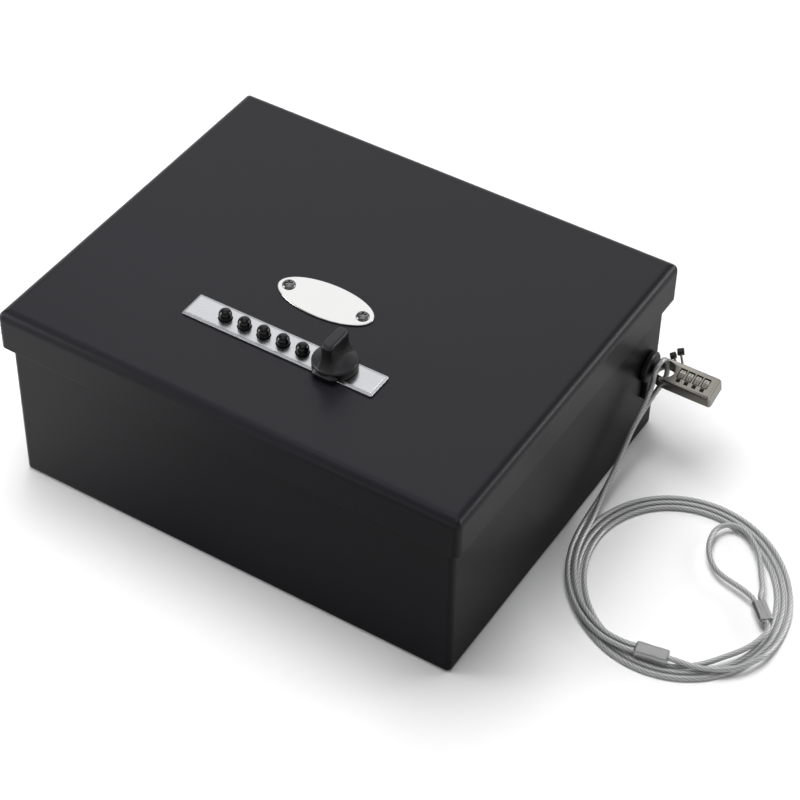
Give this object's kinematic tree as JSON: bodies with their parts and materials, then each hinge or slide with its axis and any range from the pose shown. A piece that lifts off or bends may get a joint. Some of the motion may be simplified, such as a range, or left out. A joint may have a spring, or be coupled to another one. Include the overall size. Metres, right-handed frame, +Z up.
{
  "type": "portable car safe",
  "caption": "Sheet-steel car safe with a hinged lid, push-button and knob lock, and a looped steel cable held at the side by a small dial lock.",
  "frame": {"origin": "on the floor, under the middle of the case (the flat face that it rests on)", "axes": "+Z up, +X right along the front, the lid's long side; +Y back to the hinge"},
  "size_m": [0.4462, 0.2503, 0.1506],
  "materials": {
    "powder_coat": "fine charcoal powder coat, satin",
    "foam": "dark foam",
    "zinc_plate": "zinc-plated steel",
    "brushed_plate": "brushed stainless",
    "polished_steel": "polished",
    "gloss_black": "gloss black",
    "black_plastic": "matt black",
    "nickel": "satin nickel",
    "aluminium_sleeve": "dull pressed aluminium",
    "coated_cable": "clear coat over steel rope"
  },
  "bodies": {
    "case": {"case_shell": "powder_coat", "case_floor_pad": "foam", "strike_bracket": "zinc_plate", "hinge_case_leaf": "zinc_plate", "hinge_pin": "zinc_plate", "anchor_collar": "black_plastic", "anchor_back_plate": "zinc_plate", "dial_lock_body": "nickel", "dial_lock_end_cap": "nickel", "dial_shaft": "zinc_plate", "cable_large_eye": "coated_cable", "cable_large_sleeve": "aluminium_sleeve", "cable_coil": "coated_cable", "cable_small_sleeve": "aluminium_sleeve", "cable_small_eye": "coated_cable"},
    "lid": {"lid_shell": "powder_coat", "lid_pad": "foam", "hinge_lid_leaf": "zinc_plate", "lock_face_plate": "brushed_plate", "badge_plate": "polished_steel", "badge_screw_left": "polished_steel", "badge_screw_right": "polished_steel", "lock_case": "zinc_plate", "lock_case_cover": "zinc_plate", "code_chamber": "zinc_plate", "lock_case_screw_1": "zinc_plate", "lock_case_screw_2": "zinc_plate", "lock_case_screw_3": "zinc_plate", "lock_case_screw_4": "zinc_plate"},
    "knob": {"knob": "black_plastic", "knob_spindle": "zinc_plate", "latch_cam": "zinc_plate", "spindle_clip": "zinc_plate"},
    "latch_bolt": {"latch_bolt": "zinc_plate"},
    "push_button_1": {"push_button_1": "gloss_black"},
    "push_button_2": {"push_button_2": "gloss_black"},
    "push_button_3": {"push_button_3": "gloss_black"},
    "push_button_4": {"push_button_4": "gloss_black"},
    "push_button_5": {"push_button_5": "gloss_black"},
    "dial_1": {"dial_1": "nickel"},
    "dial_2": {"dial_2": "nickel"},
    "dial_3": {"dial_3": "nickel"},
    "dial_4": {"dial_4": "nickel"},
    "lock_bar": {"lock_bar": "zinc_plate"},
    "release_button": {"release_button": "black_plastic", "release_stem": "nickel"},
    "code_set_button": {"code_set_button": "black_plastic", "code_set_stem": "nickel"}
  },
  "joints": [
    {"name": "lid_hinge", "type": "hinge", "parent": "case", "child": "lid", "pos_m": [0, 0.123, 0.0965], "axis": [-1, 0, 0], "range_deg": [0, 105]},
    {"name": "knob_turn", "type": "hinge", "parent": "lid", "child": "knob", "pos_m": [0.0338, -0.0606, 0.12], "axis": [0, 0, -1], "range_deg": [0, 92]},
    {"name": "bolt_slide", "type": "slide", "parent": "lid", "child": "latch_bolt", "axis": [0, -1, 0], "range_m": [0, 0.011]},
    {"name": "push_button_1_press", "type": "slide", "parent": "lid", "child": "push_button_1", "axis": [0, 0, -1], "range_m": [0, 0.0025], "stiffness_N_per_m": 300},
    {"name": "push_button_2_press", "type": "slide", "parent": "lid", "child": "push_button_2", "axis": [0, 0, -1], "range_m": [0, 0.0025], "stiffness_N_per_m": 300},
    {"name": "push_button_3_press", "type": "slide", "parent": "lid", "child": "push_button_3", "axis": [0, 0, -1], "range_m": [0, 0.0025], "stiffness_N_per_m": 300},
    {"name": "push_button_4_press", "type": "slide", "parent": "lid", "child": "push_button_4", "axis": [0, 0, -1], "range_m": [0, 0.0025], "stiffness_N_per_m": 300},
    {"name": "push_button_5_press", "type": "slide", "parent": "lid", "child": "push_button_5", "axis": [0, 0, -1], "range_m": [0, 0.0025], "stiffness_N_per_m": 300},
    {"name": "dial_1_spin", "type": "hinge", "parent": "case", "child": "dial_1", "pos_m": [0.17105, 0.10521, 0.06003], "axis": [1, 0, 0], "continuous": true},
    {"name": "dial_2_spin", "type": "hinge", "parent": "case", "child": "dial_2", "pos_m": [0.17625, 0.10521, 0.06003], "axis": [1, 0, 0], "continuous": true},
    {"name": "dial_3_spin", "type": "hinge", "parent": "case", "child": "dial_3", "pos_m": [0.18145, 0.10521, 0.06003], "axis": [1, 0, 0], "continuous": true},
    {"name": "dial_4_spin", "type": "hinge", "parent": "case", "child": "dial_4", "pos_m": [0.18665, 0.10521, 0.06003], "axis": [1, 0, 0], "continuous": true},
    {"name": "release_press", "type": "slide", "parent": "case", "child": "release_button", "axis": [0.5592, -0.8008, -0.2146], "range_m": [0, 0.0012], "stiffness_N_per_m": 400},
    {"name": "lock_bar_turn", "type": "hinge", "parent": "case", "child": "lock_bar", "pos_m": [0.148, 0.1045, 0.0588], "axis": [1, 0, 0], "range_deg": [0, 95]},
    {"name": "code_set_press", "type": "slide", "parent": "case", "child": "code_set_button", "axis": [0.7071, -0.683, -0.183], "range_m": [0, 0.0012], "stiffness_N_per_m": 400}
  ],
  "couplings": [
    {"joint": "knob_turn", "follows": "bolt_slide", "rad_per_m": 142.8},
    {"joint": "lock_bar_turn", "follows": "release_press", "rad_per_m": 1309}
  ]
}
